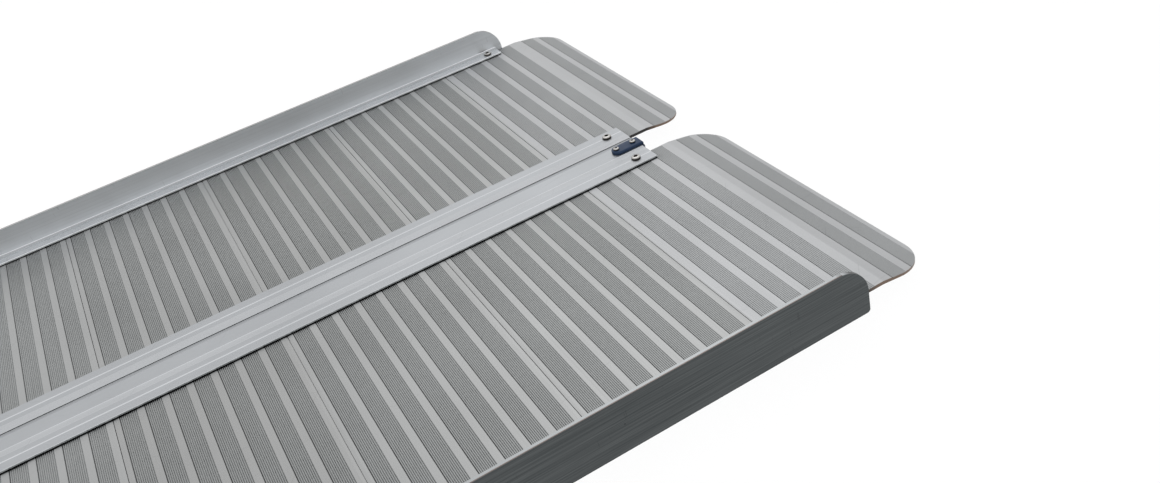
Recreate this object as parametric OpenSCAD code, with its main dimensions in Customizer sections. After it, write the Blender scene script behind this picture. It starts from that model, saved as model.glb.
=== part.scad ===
// Folding access ramp: two deck halves of extruded aluminium planks, joined along the middle
// by a long hinge and edged by upright side rails with a carry handle on each.
// The ramp lies open on its side rails. X runs across it, Y along the way of travel, Z up.
// The origin is in the middle of the ramp, on the surface that the rails stand on.

/* [Deck] */
// Width over the outer faces of the side rails
ramp_w = 710; // [600:1:900]
// Height of the walking surface above the ground
deck_h = 18; // [17.6:0.1:24]
// Length of one plank along the ramp, seam to seam
plank_len = 152.4; // [130:0.1:175]
// Thickness of the plank's plate
plate_t = 3.2; // [2.8:0.1:3.6]
// Inner edge of the right planks, from the middle of the hinge
right_inner = 24.5; // [22:0.1:28]
// Inner edge of the left planks, from the middle of the hinge
left_inner = 19; // [18.6:0.1:24]

/* [Planks] */
// Distance from one grooved band to the next
band_pitch = 21.07; // [20:0.01:21.6]
// Width of a grooved band
band_w = 14.8; // [13:0.1:16]
// Grooves in one band
groove_n = 10; // [6:1:11]
// Width of a groove at the surface
groove_w = 0.95; // [0.6:0.05:1.1]
// Depth of a groove
groove_d = 0.7; // [0.3:0.05:0.9]
// How far the seam lies off the middle of the plain strip
seam_shift = 0.6; // [0:0.1:1]
// Open width of the seam between planks
seam_w = 0.5; // [0.3:0.1:0.8]
// Width of the shallow bevel beside a seam
bevel_w = 2.4; // [1:0.1:3]
// Depth of the shallow bevel beside a seam
bevel_d = 0.15; // [0.05:0.05:0.3]
// Length of the tongue under the next plank
tongue_l = 4.4; // [3:0.1:4.6]
// Thickness of the tongue
tongue_t = 1.2; // [0.8:0.1:1.4]
// Thickness of a stiffening rib under a plank
rib_t = 3; // [2:0.1:5]
// Depth of a rib below the plate
rib_d = 5; // [3:0.1:5.4]
// Width of a rib's foot
rib_foot_w = 9; // [5:0.5:14]
// Thickness of a rib's foot
rib_foot_t = 1.6; // [1:0.1:2.5]

/* [End planks] */
// Plain strip between the seam and the end plank's first band
end_margin = 9.2; // [8:0.1:9.4]
// Distance from one band to the next on the end plank
end_pitch = 23.2; // [22:0.1:23.5]
// Width of a grooved band on the end plank
end_band_w = 15.5; // [14:0.1:17]
// Wide plain strip where the end plank bends down
bend_strip = 17.2; // [15:0.1:17.5]
// Width of the two grooved bands near the tip
tip_band_w = 14.5; // [13:0.1:14.6]
// Plain strip between the two bands near the tip
tip_strip = 7.6; // [6:0.1:8]
// Least plain lip between the last band and the tip
tip_lip = 3; // [2:0.1:4.2]
// Slope of the end plank past its bend, in degrees
tip_slope = 8; // [4:0.5:10]
// Thickness of the end plank at the tip
tip_t = 1.8; // [1.2:0.1:2.6]
// Radius of the tip's corners seen from above
tip_r = 32; // [15:1:38]

/* [Side rails] */
// Height of a side rail above the walking surface
curb_h = 30; // [26:0.5:60]
// Thickness of a side rail
rail_t = 3.5; // [2.5:0.1:5]
// From the end of a side rail to the tip of the ramp
rail_setback = 66.9; // [62:0.1:80]
// Radius of a side rail's upper corners
rail_r = 27; // [10:0.5:32]
// Radius of a side rail's lower corners
rail_foot_r = 3; // [1:0.5:6]
// Width of the rail's flange that lies on the deck
rail_flange_w = 16.7; // [14:0.1:24]
// How far the flange stops short of the rail's end
rail_flange_cut = 8.3; // [4:0.1:14]
// Width of the rail's inward foot
rail_foot_w = 10; // [6:0.5:14]
// Thickness of the rail's inward foot
rail_foot_t = 2.5; // [1.5:0.1:4]
// Size of the bead at the root of the flange
bead = 2; // [1:0.1:3]

/* [Hinge] */
// Thickness of the flanges that lie on the deck
flange_t = 2.6; // [2.2:0.1:3.2]
// Height of the slot under a flange's outer edge
relief_h = 0.9; // [0.3:0.1:1.4]
// Depth of the slot under a flange's outer edge
relief_w = 2.5; // [1:0.1:4]
// Thickness of the flanges that hold the planks from below
clamp_t = 2.4; // [1.8:0.1:2.8]
// Half width over the two hinge flanges
hinge_half_w = 41.9; // [38:0.1:50]
// Reach of the lower flanges from the middle of the hinge
clamp_reach = 37.5; // [36:0.1:38]
// From the end of the hinge to the tip of the ramp
hinge_setback = 72.6; // [70:0.1:90]
// Height of the hinge pin's axis above the ground
pivot_h = 8.5; // [8.4:0.1:8.8]
// Diameter of the hinge pin
pin_d = 8; // [6:0.5:9]
// Outer diameter of the hinge knuckles
knuckle_d = 16.6; // [14:0.1:16.8]
// Left edge of the middle band, from the middle of the hinge
band_left = 10.4; // [9:0.1:11]
// Open width of the seam beside the middle band
hinge_seam = 1.2; // [0.8:0.1:1.6]
// Thickness of the middle band
cover_t = 3; // [2.4:0.1:3.2]
// Thickness of the upright webs of the hinge
web_t = 4.2; // [3:0.1:4.3]
// Place of the screw line, from the middle of the hinge
screw_line = 30.4; // [29.5:0.1:32]
// Width of the line cut along each hinge flange
guide_w = 1.8; // [1:0.1:2.4]
// Distance between the fine lines beside the seam
line_pitch = 1.5; // [1.2:0.1:1.6]
// Depth of the fine lines
line_d = 0.4; // [0.2:0.05:0.6]

/* [Hinge caps] */
// Width of a hinge cap's bar
cap_w = 14.6; // [12:0.1:16]
// Length of a hinge cap's bar on the band
cap_len = 30; // [26:0.5:45]
// Height of a hinge cap's bar
cap_h = 3.2; // [2.4:0.1:5]
// Place of the cap's middle, from the middle of the hinge
cap_x = 4.7; // [4:0.1:5]
// Width of the cap's end plate that covers the pin
cap_plate_w = 19.6; // [18:0.1:26]
// Thickness of the cap's end plate
cap_plate_t = 2.4; // [1.5:0.1:4]
// Height of the end plate's lower edge above the ground
cap_plate_low = 1; // [0.5:0.1:3]
// Distance between the two screws of a cap
cap_screw_gap = 19; // [14:0.5:19.5]
// Distance from the hinge's end to a cap's outer screw
cap_screw_inset = 6; // [4.5:0.1:6.5]

/* [Fasteners] */
// Thread diameter of the flange screws
screw_d = 5; // [4:0.5:6]
// Head diameter of the flange screws
screw_head_d = 9.4; // [8:0.1:11]
// Head height of the flange screws
screw_head_h = 2.6; // [2:0.1:4]
// Distance from the hinge's end to its flange screws
screw_inset = 17.4; // [12:0.1:24]
// Width across the flats of the nuts
nut_af = 8; // [7:0.5:9]
// Height of the nuts
nut_h = 2.4; // [2:0.1:2.5]
// Thread diameter of the cap screws
cap_screw_d = 3.5; // [3:0.1:4]
// Head diameter of the cap screws
cap_head_d = 6.2; // [5.6:0.1:8]
// Head height of the cap screws
cap_head_h = 2.1; // [1.5:0.1:3]

/* [Carry handles] */
// Height of the handle's pivot above the ground
handle_h = 38; // [34:0.5:40]
// From the handle's pivot to the middle of the grip
handle_drop = 29; // [24:0.5:29]
// Distance between the two legs of the bail
bail_w = 112; // [100:1:150]
// Diameter of the bail's rod
rod_d = 6; // [5:0.1:7]
// Bend radius of the rod, at its middle
rod_bend = 8; // [6:0.5:10]
// Diameter of the grip
grip_d = 14; // [12:0.5:15]
// Gap between the hanging grip and the rail
grip_gap = 0.5; // [0.3:0.1:2]
// Thickness of the bracket's plate
bracket_t = 2; // [1.5:0.1:2.2]
// Height of the bracket's plate
bracket_h = 16; // [14:0.5:18]
// Wall of the bracket's barrel
barrel_wall = 2; // [1.5:0.1:2.2]
// Length of the bracket's barrel
barrel_l = 12; // [8:0.5:20]
// Diameter of the rivets
rivet_d = 4.8; // [4:0.1:5]

/* [Fits] */
// Gap between pieces of different halves, and of loosely held pieces
gap = 0.3; // [0.2:0.05:0.4]
// Radial running clearance of the hinge pin and the bails
running = 0.05; // [0.02:0.01:0.09]
// Radial clearance of a fastener in its hole
hole_gap = 0.2; // [0.1:0.05:0.3]

/* [Hidden] */
$fn = 48;

// Colours as the photograph shows them
mill_silver = [0.70, 0.70, 0.71];
rail_grey = [0.55, 0.56, 0.57];
bright_steel = [0.80, 0.80, 0.80];
navy = [0.12, 0.16, 0.30];
soft_black = [0.08, 0.08, 0.09];

// Overlap that joins shapes of one piece
joined = 0.5;
// Number of planks between the two end planks of a half
plank_n = 8;
// Grooved bands that fit on a plank between its bevels
band_n = floor((plank_len - band_w - seam_w - 2 * (bevel_w + seam_shift)) / band_pitch) + 1;
// Grooved bands that fit on the flat part of an end plank
tip_part = bend_strip + 2 * tip_band_w + tip_strip + tip_lip;
end_band_n = floor((plank_len - end_margin - end_band_w - tip_part) / end_pitch) + 1;
// Ribs under a plank, and under the part of an end plank that lies between the rails
rib_n = 3;
end_rib_n = 2;
// Fine lines on each hinge flange and on a rail's flange
left_line_n = 7;
right_line_n = 5;
rail_line_n = 5;
rail_line_pitch = 2.4;
// Width of a fine line, as a share of the distance between them
line_share = 0.62;
// Small chamfer on the outer edges of flanges
edge = 0.4;
// Raised bead beside the middle band's left edge
ridge_h = 0.35;
ridge_w = 3.4;
ridge_top_w = 1.8;
// Radius of the middle band's left edge
cover_r = 1.2;
// Place and width of the thin line at the right of the middle band
cover_line_x = 14.4;
cover_line_w = 1;
// Knuckles along the hinge: odd, so that the right half has both end ones
knuckle_n = 17;

half_w = ramp_w / 2;
ramp_half_l = (plank_n / 2 + 1) * plank_len;
rail_in = half_w - rail_t;
plank_out = rail_in - gap;
rail_top = deck_h + curb_h;
flange_top = deck_h + flange_t;
plate_bottom = deck_h - plate_t;
clamp_top = plate_bottom - gap;
clamp_bottom = clamp_top - clamp_t;
rib_bottom = plate_bottom - rib_d;

rail_half_l = ramp_half_l - rail_setback;
rail_flange_half_l = rail_half_l - rail_flange_cut;
rail_flange_in = rail_in - rail_flange_w;
// The rail's lower flange stops a little short of the upper one
rail_clamp_short = 1.7;
rail_clamp_in = rail_flange_in + rail_clamp_short;
rail_screw_x = rail_in - rail_flange_w / 2;

hinge_half_l = ramp_half_l - hinge_setback;
screw_y = hinge_half_l - screw_inset;
knuckle_pitch = 2 * hinge_half_l / knuckle_n;
pin_r = pin_d / 2;
bore_r = pin_r + running;
knuckle_r = knuckle_d / 2;
cover_bottom = flange_top - cover_t;
left_edge = band_left + hinge_seam;
right_web = right_inner - gap;
left_web = left_inner - gap;
// The arm that ties a knuckle to its web
arm_low = pivot_h + 1;
arm_top = clamp_top + joined;
// The ribs stop short of the lower flanges at both ends
rib_gap = 1;
rib_start = clamp_reach + rib_gap;
rib_end = rail_clamp_in - rib_gap;

cap_top = flange_top + cap_h;
cap_end = hinge_half_l - cap_len;
cap_screw_y = hinge_half_l - cap_screw_inset - cap_screw_gap;
// Inset and height of the cap's upper step
cap_step = 1.2;
cap_step_h = 1;

screw_r = screw_d / 2;
screw_low = clamp_bottom - nut_h - gap;
cap_screw_r = cap_screw_d / 2;
// Depth that a cap screw bites into the hinge profile
cap_screw_bite = 6;
// Recess in a screw's head, as shares of the head's radius and height
recess_r_share = 0.34;
recess_floor_share = 0.45;
cap_screw_low = flange_top - cap_screw_bite;

rod_r = rod_d / 2;
grip_r = grip_d / 2;
handle_x = half_w + grip_gap + grip_r;
barrel_r = rod_r + running + barrel_wall;
// Play between the bail's bends and the barrels, and between the bends and the grip
bail_play = 1;
grip_play = 2;
barrel_start = bail_w / 2 + rod_bend + bail_play;
barrel_end = barrel_start + barrel_l;
// Overhang of the bracket's plate at the barrel, and the distances to and past the rivets
bracket_lead = 2;
rivet_lead = 11;
rivet_margin = 9;
bracket_start = barrel_start - bracket_lead;
rivet_y = barrel_end + rivet_lead;
bracket_end = rivet_y + rivet_margin;
rivet_rise = bracket_h / 4;
rivet_r = rivet_d / 2;
rivet_head_r = rivet_r * 1.5;
rivet_tail_r = rivet_r * 1.4;
rivet_head_h = 1.5;
// Peened head on each end of the bail
rod_head_r = rod_r + 1.4;
rod_head_t = 1.4;
grip_half_l = bail_w / 2 - rod_bend - grip_play;

// A V-shaped cut in a top surface, as three points from left to right
function v_cut(x, z, w, d) = [[x - w / 2, z], [x, z - d], [x + w / 2, z]];

// The cuts of one grooved band that starts at s
function band_cuts(s, w) = [
    for (i = [0:groove_n - 1])
        for (p = v_cut(s + groove_w / 2 + i * (w - groove_w) / (groove_n - 1), deck_h, groove_w, groove_d)) p
];

// A row of fine lines that starts at x
function line_cuts(x, n, pitch) = [
    for (i = [0:n - 1])
        for (p = v_cut(x + i * pitch, flange_top, line_share * line_pitch, line_d)) p
];

// Points on a quarter round, from the left side up to the top
function round_left(x, z, r) = [for (a = [180:-22.5:90]) [x + r + r * cos(a), z - r + r * sin(a)]];

// The end plank's surface falls away past the bend
bend_s = end_margin + (end_band_n - 1) * end_pitch + end_band_w + bend_strip / 2;
function droop(s) = s > bend_s ? (s - bend_s) * tan(tip_slope) : 0;
function bent(points) = [for (p = points) [p[0], p[1] - droop(p[0])]];

// Puts a cross profile (drawn as X and Z) along Y, centred
module along_y(len) {
    rotate([90, 0, 0])
        linear_extrude(height = len, center = true)
            children();
}

// Puts a side profile (drawn as Y and Z) along X, from x0 to x1
module along_x(x0, x1) {
    translate([x0, 0, 0])
        rotate([90, 0, 90])
            linear_extrude(height = x1 - x0)
                children();
}

module on_side(side) {
    mirror([side < 0 ? 1 : 0, 0, 0])
        children();
}

module at_end(end) {
    mirror([0, end < 0 ? 1 : 0, 0])
        children();
}

// Side profile of the tongue, at the plank edge that stands at s and points along dir
module tongue_profile(s, dir) {
    translate([dir > 0 ? s - joined : s - tongue_l, plate_bottom])
        square([tongue_l + joined, tongue_t]);
}

// Side profile of the rebate that takes the tongue, at the plank edge that stands at s
module rebate_profile(s) {
    translate([s - joined, plate_bottom - joined])
        square([joined + tongue_l - seam_w + gap, joined + tongue_t + gap]);
}

// Side profile of a rib and its foot
module rib_profile(s) {
    translate([s - rib_t / 2, rib_bottom])
        square([rib_t, rib_d + joined]);
    translate([s - rib_foot_w / 2, rib_bottom])
        square([rib_foot_w, rib_foot_t]);
}

// Side profile of a plank's plate, from seam to seam
module plank_profile() {
    first = (plank_len - (band_n - 1) * band_pitch - band_w) / 2 - seam_shift;
    low = seam_w / 2;
    high = plank_len - seam_w / 2;
    difference() {
        union() {
            polygon(concat(
                [[low, deck_h - bevel_d], [low + bevel_w, deck_h]],
                [for (k = [0:band_n - 1]) for (p = band_cuts(first + k * band_pitch, band_w)) p],
                [[high - bevel_w, deck_h], [high, deck_h - bevel_d]],
                [[high, plate_bottom], [low, plate_bottom]]
            ));
            tongue_profile(high, 1);
        }
        rebate_profile(low);
    }
}

// One plank of a half. Its inner and outer edges sit in the hinge's and the rail's channels
module plank(inner, start) {
    color(mill_silver)
        translate([0, start, 0]) {
            along_x(inner, plank_out)
                plank_profile();
            along_x(rib_start, rib_end)
                for (k = [0:rib_n - 1])
                    rib_profile((k + 0.5) * plank_len / rib_n);
        }
}

// Side profile of an end plank's plate, from the seam to the tip
module end_profile(tongue) {
    low = seam_w / 2;
    tip_first = bend_s + bend_strip / 2;
    tip_second = tip_first + tip_band_w + tip_strip;
    top = concat(
        [[low, deck_h - bevel_d], [low + bevel_w, deck_h]],
        [for (k = [0:end_band_n - 1]) for (p = band_cuts(end_margin + k * end_pitch, end_band_w)) p],
        [[bend_s, deck_h]],
        band_cuts(tip_first, tip_band_w),
        band_cuts(tip_second, tip_band_w),
        [[plank_len, deck_h]]
    );
    difference() {
        union() {
            polygon(concat(
                bent(top),
                [[plank_len, deck_h - droop(plank_len) - tip_t]],
                [[bend_s, plate_bottom], [low, plate_bottom]]
            ));
            if (tongue)
                tongue_profile(low, -1);
        }
        if (!tongue)
            rebate_profile(low);
    }
}

// Plan of an end plank, with its two rounded corners at the tip
module tip_plan(inner) {
    w = plank_out - inner;
    l = plank_len + tongue_l;
    translate([inner, -tongue_l]) {
        square([w, l - tip_r]);
        translate([tip_r, 0])
            square([w - 2 * tip_r, l]);
        translate([tip_r, l - tip_r])
            circle(tip_r);
        translate([w - tip_r, l - tip_r])
            circle(tip_r);
    }
}

// One end plank, drawn from its seam towards the tip
module end_plank(inner, tongue) {
    seam_y = ramp_half_l - plank_len;
    color(mill_silver)
        difference() {
            translate([0, seam_y, 0]) {
                intersection() {
                    along_x(inner, plank_out)
                        end_profile(tongue);
                    linear_extrude(height = deck_h + joined)
                        tip_plan(inner);
                }
                along_x(rib_start, rib_end)
                    for (k = [0:end_rib_n - 1])
                        rib_profile((k + 0.5) * plank_len / rib_n);
            }
            screw_holes();
        }
}

// The two flange screws at one end of one half: on the hinge flange and on the rail's flange
module at_screws() {
    for (x = [screw_line, rail_screw_x])
        translate([x, screw_y, 0])
            children();
}

module screw_holes() {
    at_screws()
        cylinder(h = rail_top, r = screw_r + hole_gap);
}

// Upright plate of a side rail, drawn as Y and Z
module rail_plate() {
    l = rail_half_l;
    translate([-l, rail_foot_r])
        square([2 * l, rail_top - rail_r - rail_foot_r]);
    translate([-l + rail_r, rail_top - rail_r - joined])
        square([2 * (l - rail_r), rail_r + joined]);
    translate([-l + rail_foot_r, 0])
        square([2 * (l - rail_foot_r), rail_foot_r + joined]);
    for (s = [0, 1])
        mirror([s, 0]) {
            translate([l - rail_r, rail_top - rail_r])
                intersection() {
                    circle(rail_r);
                    square(rail_r);
                }
            translate([l - rail_foot_r, rail_foot_r])
                circle(rail_foot_r);
        }
}

// Cross profile of the rail's flange that lies on the deck
module rail_flange_profile() {
    polygon(concat(
        [[rail_flange_in + relief_w, deck_h], [rail_flange_in, deck_h + relief_h]],
        [[rail_flange_in, flange_top - edge], [rail_flange_in + edge, flange_top]],
        line_cuts(rail_flange_in + rail_line_pitch, rail_line_n, rail_line_pitch),
        [[rail_in - bead, flange_top], [rail_in, flange_top + bead]],
        [[rail_in + joined, flange_top + bead], [rail_in + joined, deck_h]]
    ));
}

module side_rail(side) {
    color(rail_grey)
        on_side(side)
            difference() {
                union() {
                    along_x(rail_in, half_w)
                        rail_plate();
                    along_y(2 * rail_flange_half_l)
                        rail_flange_profile();
                    along_y(2 * rail_flange_half_l)
                        translate([rail_clamp_in, clamp_bottom])
                            square([rail_in + joined - rail_clamp_in, clamp_t]);
                    along_y(2 * (rail_half_l - rail_foot_r))
                        translate([rail_in - rail_foot_w, 0])
                            square([rail_foot_w + joined, rail_foot_t]);
                }
                for (end = [-1, 1])
                    at_end(end)
                        screw_holes();
                at_rivets()
                    cylinder(h = 2 * rail_t, r = rivet_r + hole_gap, center = true);
            }
}

// Cross profile of the right half's hinge profile, without its knuckles:
// middle band, flange on the deck, web and the flange that holds the planks from below
module right_hinge_section() {
    ridge_x = -band_left + cover_r;
    polygon(concat(
        [[-band_left, cover_bottom]],
        round_left(-band_left, flange_top, cover_r),
        [[ridge_x + (ridge_w - ridge_top_w) / 2, flange_top + ridge_h]],
        [[ridge_x + (ridge_w + ridge_top_w) / 2, flange_top + ridge_h]],
        [[ridge_x + ridge_w, flange_top]],
        v_cut(cover_line_x, flange_top, cover_line_w, line_d),
        line_cuts(cover_line_x + line_pitch, right_line_n, line_pitch),
        v_cut(screw_line, flange_top, guide_w, line_d + groove_d / 2),
        [[hinge_half_w - edge, flange_top], [hinge_half_w, flange_top - edge]],
        [[hinge_half_w, deck_h + relief_h], [hinge_half_w - relief_w, deck_h]],
        [[right_web, deck_h], [right_web, clamp_top], [clamp_reach, clamp_top]],
        [[clamp_reach, clamp_bottom], [right_web - web_t, clamp_bottom], [right_web - web_t, cover_bottom]]
    ));
}

// Cross profile of the left half's hinge profile, drawn to the right of the hinge
module left_hinge_section() {
    polygon(concat(
        [[left_edge, cover_bottom], [left_edge, flange_top - edge], [left_edge + edge, flange_top]],
        line_cuts(left_edge + line_pitch, left_line_n, line_pitch),
        v_cut(screw_line, flange_top, guide_w, line_d + groove_d / 2),
        [[hinge_half_w - edge, flange_top], [hinge_half_w, flange_top - edge]],
        [[hinge_half_w, deck_h + relief_h], [hinge_half_w - relief_w, deck_h]],
        [[left_web, deck_h], [left_web, clamp_top], [clamp_reach, clamp_top]],
        [[clamp_reach, clamp_bottom], [left_web, clamp_bottom], [left_web, arm_low]],
        [[left_web - web_t, arm_low], [left_web - web_t, cover_bottom]]
    ));
}

// Cross profile of a knuckle of the right half: it hangs from the middle band
module right_knuckle_section() {
    translate([0, pivot_h])
        circle(knuckle_r);
    translate([-knuckle_r / 2, pivot_h])
        square([knuckle_r * 1.5, cover_bottom + joined - pivot_h]);
    translate([0, arm_low])
        square([right_web - web_t + joined, arm_top - arm_low]);
}

// Cross profile of a knuckle of the left half, drawn to the right of the hinge
module left_knuckle_section() {
    translate([0, pivot_h])
        circle(knuckle_r);
    translate([0, arm_low])
        square([left_web - web_t + joined, arm_top - arm_low]);
}

// Knuckles of one half: every second place along the hinge, from the given one
module knuckles(first) {
    for (i = [first:2:knuckle_n - 1])
        translate([0, (i + 0.5) * knuckle_pitch - hinge_half_l, 0])
            along_y(knuckle_pitch - gap)
                children();
}

module pin_bore() {
    translate([0, 0, pivot_h])
        rotate([90, 0, 0])
            cylinder(h = 2 * ramp_half_l, r = bore_r, center = true);
}

module hinge_screw_holes() {
    for (end = [-1, 1])
        at_end(end)
            screw_holes();
}

module right_hinge_profile() {
    color(mill_silver)
        difference() {
            union() {
                along_y(2 * hinge_half_l)
                    right_hinge_section();
                knuckles(0)
                    right_knuckle_section();
            }
            pin_bore();
            hinge_screw_holes();
            at_cap_screws()
                translate([0, 0, cap_screw_low - gap])
                    cylinder(h = cap_top, r = cap_screw_r + hole_gap);
        }
}

module left_hinge_profile() {
    color(mill_silver)
        on_side(-1)
            difference() {
                union() {
                    along_y(2 * (hinge_half_l - gap))
                        left_hinge_section();
                    knuckles(1)
                        left_knuckle_section();
                }
                pin_bore();
                hinge_screw_holes();
            }
}

// Steel pin through all the knuckles, held in by the plates of the two caps
module hinge_pin() {
    color(bright_steel)
        translate([0, 0, pivot_h])
            rotate([90, 0, 0])
                cylinder(h = 2 * (hinge_half_l - gap), r = pin_r, center = true);
}

// Plan of a cap's bar: round at its inner end, square at the hinge's end
module cap_plan(inset) {
    r = cap_w / 2 - inset;
    translate([cap_x, cap_end + cap_w / 2])
        circle(r);
    translate([cap_x - r, cap_end + cap_w / 2])
        square([2 * r, cap_len - cap_w / 2]);
}

// Blue plastic cap: a bar screwed on the middle band, with a plate over the hinge's end
module hinge_cap(end) {
    color(navy)
        at_end(end)
            difference() {
                union() {
                    translate([0, 0, flange_top])
                        linear_extrude(height = cap_h - cap_step_h)
                            cap_plan(0);
                    translate([0, 0, flange_top])
                        linear_extrude(height = cap_h)
                            cap_plan(cap_step);
                    translate([cap_x - cap_plate_w / 2, hinge_half_l, cap_plate_low])
                        cube([cap_plate_w, cap_plate_t, flange_top - cap_plate_low]);
                    translate([cap_x - cap_w / 2, hinge_half_l - joined, flange_top])
                        cube([cap_w, cap_plate_t + joined, cap_h - cap_step_h]);
                }
                for (k = [0, 1])
                    translate([cap_x, cap_screw_y + k * cap_screw_gap, 0])
                        cylinder(h = rail_top, r = cap_screw_r + hole_gap);
            }
}

module at_cap_screws() {
    for (end = [-1, 1])
        at_end(end)
            for (k = [0, 1])
                translate([cap_x, cap_screw_y + k * cap_screw_gap, 0])
                    children();
}

// A domed screw that hangs from the seat: domed head with a six-sided recess, and a shank
module screw(seat, low, shank_r, head_d, head_h) {
    head_r = head_d / 2;
    dome_r = (head_r * head_r + head_h * head_h) / (2 * head_h);
    difference() {
        union() {
            intersection() {
                translate([0, 0, seat + head_h - dome_r])
                    sphere(dome_r);
                translate([0, 0, seat])
                    cylinder(h = head_h, r = head_r);
            }
            translate([0, 0, low])
                cylinder(h = seat + joined - low, r = shank_r);
        }
        translate([0, 0, seat + head_h * recess_floor_share])
            cylinder(h = head_h, r = head_r * recess_r_share, $fn = 6);
    }
}

module hinge_cap_screws() {
    color(bright_steel)
        at_cap_screws()
            screw(cap_top, cap_screw_low, cap_screw_r, cap_head_d, cap_head_h);
}

module flange_screws(side) {
    color(bright_steel)
        on_side(side)
            for (end = [-1, 1])
                at_end(end)
                    at_screws()
                        screw(flange_top, screw_low, screw_r, screw_head_d, screw_head_h);
}

module flange_nuts(side) {
    color(bright_steel)
        on_side(side)
            for (end = [-1, 1])
                at_end(end)
                    at_screws()
                        translate([0, 0, clamp_bottom - nut_h])
                            difference() {
                                cylinder(h = nut_h, r = nut_af / 2 / cos(30), $fn = 6);
                                translate([0, 0, -joined])
                                    cylinder(h = nut_h + 2 * joined, r = screw_r + hole_gap / 2);
                            }
}

// The two brackets of a handle, at their places beside the bail
module at_brackets() {
    for (end = [-1, 1])
        at_end(end)
            children();
}

module at_rivets() {
    at_brackets()
        for (rise = [-1, 1])
            translate([half_w, rivet_y, handle_h + rise * rivet_rise])
                rotate([0, 90, 0])
                    children();
}

// Steel bracket: a plate riveted on the rail, with a barrel for the end of the bail
module handle_brackets(side) {
    color(bright_steel)
        on_side(side)
            difference() {
                at_brackets() {
                    translate([half_w, bracket_start, handle_h - bracket_h / 2])
                        cube([bracket_t, bracket_end - bracket_start, bracket_h]);
                    translate([half_w + bracket_t / 2, barrel_start, handle_h - barrel_r])
                        cube([handle_x - half_w - bracket_t / 2, barrel_l, 2 * barrel_r]);
                    translate([handle_x, barrel_start, handle_h])
                        rotate([-90, 0, 0])
                            cylinder(h = barrel_l, r = barrel_r);
                }
                translate([handle_x, 0, handle_h])
                    rotate([90, 0, 0])
                        cylinder(h = 3 * bail_w, r = rod_r + running, center = true);
                at_rivets()
                    cylinder(h = 2 * rail_t, r = rivet_r + hole_gap, center = true);
            }
}

module handle_rivets(side) {
    grip_in = rail_t;
    color(bright_steel)
        on_side(side)
            at_rivets() {
                translate([0, 0, -grip_in])
                    cylinder(h = grip_in + bracket_t, r = rivet_r);
                translate([0, 0, bracket_t])
                    cylinder(h = rivet_head_h, r1 = rivet_head_r, r2 = rivet_r);
                translate([0, 0, -grip_in - rivet_head_h])
                    cylinder(h = rivet_head_h, r = rivet_tail_r);
            }
}

// A quarter bend of the rod, from +Y round to +Z
module rod_elbow() {
    reach = rod_bend + rod_r + joined;
    intersection() {
        rotate([0, 90, 0])
            rotate_extrude()
                translate([rod_bend, 0])
                    circle(rod_r);
        translate([-reach, 0, 0])
            cube([2 * reach, reach, reach]);
    }
}

// One end of the bail, drawn on the side of the front bracket
module bail_side() {
    leg_y = bail_w / 2;
    top_y = leg_y + rod_bend;
    low_z = handle_h - handle_drop;
    translate([handle_x, top_y, handle_h])
        rotate([-90, 0, 0])
            cylinder(h = barrel_end + gap + joined - top_y, r = rod_r);
    translate([handle_x, barrel_end + gap, handle_h])
        rotate([-90, 0, 0])
            cylinder(h = rod_head_t, r = rod_head_r);
    translate([handle_x, top_y, handle_h - rod_bend])
        mirror([0, 1, 0])
            rod_elbow();
    translate([handle_x, leg_y, low_z + rod_bend])
        cylinder(h = handle_drop - 2 * rod_bend, r = rod_r);
    translate([handle_x, leg_y - rod_bend, low_z + rod_bend])
        mirror([0, 0, 1])
            rod_elbow();
    translate([handle_x, 0, low_z])
        rotate([-90, 0, 0])
            cylinder(h = leg_y - rod_bend, r = rod_r);
}

// Steel bail: a bent rod whose ends turn in the two brackets
module handle_bail(side) {
    color(bright_steel)
        on_side(side)
            for (end = [-1, 1])
                at_end(end)
                    bail_side();
}

// Black grip on the bail's lower bar, with shallow rings
module handle_grip(side) {
    ring_n = 9;
    ring_pitch = 2 * grip_half_l / (ring_n + 1);
    ring_d = 0.5;
    shoulder = 2;
    inner = rod_r + hole_gap;
    color(soft_black)
        on_side(side)
            translate([handle_x, 0, handle_h - handle_drop])
                rotate([90, 0, 0])
                    rotate_extrude()
                        polygon(concat(
                            [[inner, -grip_half_l], [grip_r - shoulder, -grip_half_l]],
                            [[grip_r, shoulder - grip_half_l]],
                            [for (k = [1:ring_n]) for (p = [-1, 0, 1])
                                [grip_r - (p == 0 ? ring_d : 0), k * ring_pitch + p - grip_half_l]],
                            [[grip_r, grip_half_l - shoulder]],
                            [[grip_r - shoulder, grip_half_l], [inner, grip_half_l]]
                        ));
}

module right_plank(i) {
    plank(right_inner, (i - 1 - plank_n / 2) * plank_len);
}

module left_plank(i) {
    on_side(-1)
        plank(left_inner, (i - 1 - plank_n / 2) * plank_len);
}

for (i = [1:plank_n]) {
    right_plank(i);
    left_plank(i);
}
end_plank(right_inner, false);  // right_end_plank_front
at_end(-1) end_plank(right_inner, true);  // right_end_plank_back
on_side(-1) end_plank(left_inner, false);  // left_end_plank_front
on_side(-1) at_end(-1) end_plank(left_inner, true);  // left_end_plank_back
side_rail(1);  // right_side_rail
side_rail(-1);  // left_side_rail
right_hinge_profile();
left_hinge_profile();
hinge_pin();
hinge_cap(1);  // front_hinge_cap
hinge_cap(-1);  // back_hinge_cap
hinge_cap_screws();
flange_screws(1);  // right_flange_screws
flange_screws(-1);  // left_flange_screws
flange_nuts(1);  // right_flange_nuts
flange_nuts(-1);  // left_flange_nuts
handle_brackets(1);  // right_handle_brackets
handle_brackets(-1);  // left_handle_brackets
handle_rivets(1);  // right_handle_rivets
handle_rivets(-1);  // left_handle_rivets
handle_bail(1);  // right_handle_bail
handle_bail(-1);  // left_handle_bail
handle_grip(1);  // right_handle_grip
handle_grip(-1);  // left_handle_grip
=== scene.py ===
import math

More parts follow.
